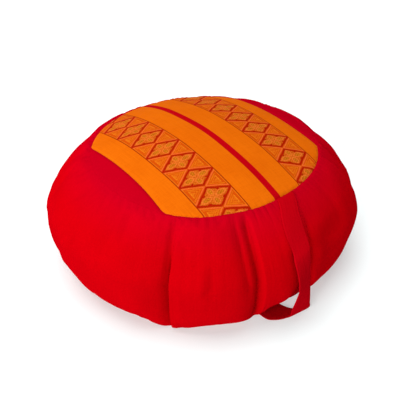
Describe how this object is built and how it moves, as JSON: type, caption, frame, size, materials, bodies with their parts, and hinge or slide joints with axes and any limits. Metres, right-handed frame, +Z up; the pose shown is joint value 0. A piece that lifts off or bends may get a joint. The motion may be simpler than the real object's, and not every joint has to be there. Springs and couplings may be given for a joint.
{
  "type": "zafu",
  "caption": "Round meditation cushion with a pleated side wall, a woven patterned band across its crowned top, and a flat carry handle at the side.",
  "frame": {"origin": "centre of the flat underside, on the surface the cushion rests on", "axes": "+Z up, +X along the stripes of the woven band towards the handle, +Y across the band"},
  "size_m": [0.3974, 0.4037, 0.162],
  "materials": {
    "side_cloth": "matte plain-woven cotton, bright red",
    "woven_cloth": "orange hand-woven cotton with brick-red diamond borders and a red centre stripe",
    "segment_cloth": "matte plain-woven cotton, crimson red",
    "handle_cloth": "folded and edge-stitched red cotton strip"
  },
  "bodies": {
    "root": {"cushion_body": "side_cloth", "woven_top_panel": "woven_cloth", "top_segment_left": "segment_cloth", "top_segment_right": "segment_cloth", "bottom_disc": "segment_cloth", "carry_handle": "handle_cloth"}
  },
  "joints": []
}
